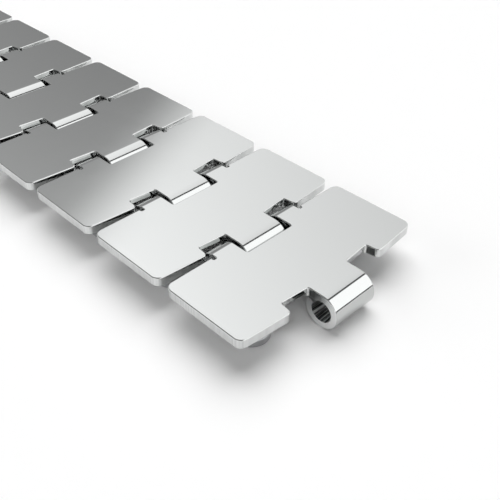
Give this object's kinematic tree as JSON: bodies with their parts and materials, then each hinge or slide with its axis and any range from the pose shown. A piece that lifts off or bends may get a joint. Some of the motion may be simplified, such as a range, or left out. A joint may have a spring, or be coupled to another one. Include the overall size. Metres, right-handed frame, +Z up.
{
  "type": "flat top chain",
  "caption": "Side-flexing flat top conveyor chain: flat steel plates with rolled hinge eyes, joined by pins, with hold-down tabs under the wings.",
  "frame": {"origin": "centre of the leading eye's bore, on the chain's centre line", "axes": "+X the running direction, +Y along the hinge pins towards the far side, +Z up out of the carrying face"},
  "size_m": [0.3178, 0.0826, 0.013],
  "materials": {
    "polished_plate": "polished stainless steel, mirror-like",
    "tab_steel": "plain stainless strip",
    "pin_steel": "ground stainless steel"
  },
  "bodies": {
    "link_1": {"link_1": "polished_plate", "link_1_near_tab": "tab_steel", "link_1_far_tab": "tab_steel"},
    "link_2": {"link_2": "polished_plate", "link_2_near_tab": "tab_steel", "link_2_far_tab": "tab_steel"},
    "link_3": {"link_3": "polished_plate", "link_3_near_tab": "tab_steel", "link_3_far_tab": "tab_steel"},
    "link_4": {"link_4": "polished_plate", "link_4_near_tab": "tab_steel", "link_4_far_tab": "tab_steel"},
    "link_5": {"link_5": "polished_plate", "link_5_near_tab": "tab_steel", "link_5_far_tab": "tab_steel"},
    "link_6": {"link_6": "polished_plate", "link_6_near_tab": "tab_steel", "link_6_far_tab": "tab_steel"},
    "link_7": {"link_7": "polished_plate", "link_7_near_tab": "tab_steel", "link_7_far_tab": "tab_steel"},
    "link_8": {"link_8": "polished_plate", "link_8_near_tab": "tab_steel", "link_8_far_tab": "tab_steel"},
    "pin_1": {"hinge_pin_1": "pin_steel"},
    "pin_2": {"hinge_pin_2": "pin_steel"},
    "pin_3": {"hinge_pin_3": "pin_steel"},
    "pin_4": {"hinge_pin_4": "pin_steel"},
    "pin_5": {"hinge_pin_5": "pin_steel"},
    "pin_6": {"hinge_pin_6": "pin_steel"},
    "pin_7": {"hinge_pin_7": "pin_steel"}
  },
  "joints": [
    {"name": "hinge_1_articulation", "type": "hinge", "parent": "link_1", "child": "pin_1", "pos_m": [-0.0381, 0, 0], "axis": [0, -1, 0], "range_deg": [-2, 40]},
    {"name": "hinge_1_side_flex", "type": "hinge", "parent": "pin_1", "child": "link_2", "pos_m": [-0.0381, 0, 0], "axis": [0, 0, 1], "range_deg": [-4.8, 4.8]},
    {"name": "hinge_2_articulation", "type": "hinge", "parent": "link_2", "child": "pin_2", "pos_m": [-0.0762, 0, 0], "axis": [0, -1, 0], "range_deg": [-2, 40]},
    {"name": "hinge_2_side_flex", "type": "hinge", "parent": "pin_2", "child": "link_3", "pos_m": [-0.0762, 0, 0], "axis": [0, 0, 1], "range_deg": [-4.8, 4.8]},
    {"name": "hinge_3_articulation", "type": "hinge", "parent": "link_3", "child": "pin_3", "pos_m": [-0.1143, 0, 0], "axis": [0, -1, 0], "range_deg": [-2, 40]},
    {"name": "hinge_3_side_flex", "type": "hinge", "parent": "pin_3", "child": "link_4", "pos_m": [-0.1143, 0, 0], "axis": [0, 0, 1], "range_deg": [-4.8, 4.8]},
    {"name": "hinge_4_articulation", "type": "hinge", "parent": "link_4", "child": "pin_4", "pos_m": [-0.1524, 0, 0], "axis": [0, -1, 0], "range_deg": [-2, 40]},
    {"name": "hinge_4_side_flex", "type": "hinge", "parent": "pin_4", "child": "link_5", "pos_m": [-0.1524, 0, 0], "axis": [0, 0, 1], "range_deg": [-4.8, 4.8]},
    {"name": "hinge_5_articulation", "type": "hinge", "parent": "link_5", "child": "pin_5", "pos_m": [-0.1905, 0, 0], "axis": [0, -1, 0], "range_deg": [-2, 40]},
    {"name": "hinge_5_side_flex", "type": "hinge", "parent": "pin_5", "child": "link_6", "pos_m": [-0.1905, 0, 0], "axis": [0, 0, 1], "range_deg": [-4.8, 4.8]},
    {"name": "hinge_6_articulation", "type": "hinge", "parent": "link_6", "child": "pin_6", "pos_m": [-0.2286, 0, 0], "axis": [0, -1, 0], "range_deg": [-2, 40]},
    {"name": "hinge_6_side_flex", "type": "hinge", "parent": "pin_6", "child": "link_7", "pos_m": [-0.2286, 0, 0], "axis": [0, 0, 1], "range_deg": [-4.8, 4.8]},
    {"name": "hinge_7_articulation", "type": "hinge", "parent": "link_7", "child": "pin_7", "pos_m": [-0.2667, 0, 0], "axis": [0, -1, 0], "range_deg": [-2, 40]},
    {"name": "hinge_7_side_flex", "type": "hinge", "parent": "pin_7", "child": "link_8", "pos_m": [-0.2667, 0, 0], "axis": [0, 0, 1], "range_deg": [-4.8, 4.8]}
  ]
}
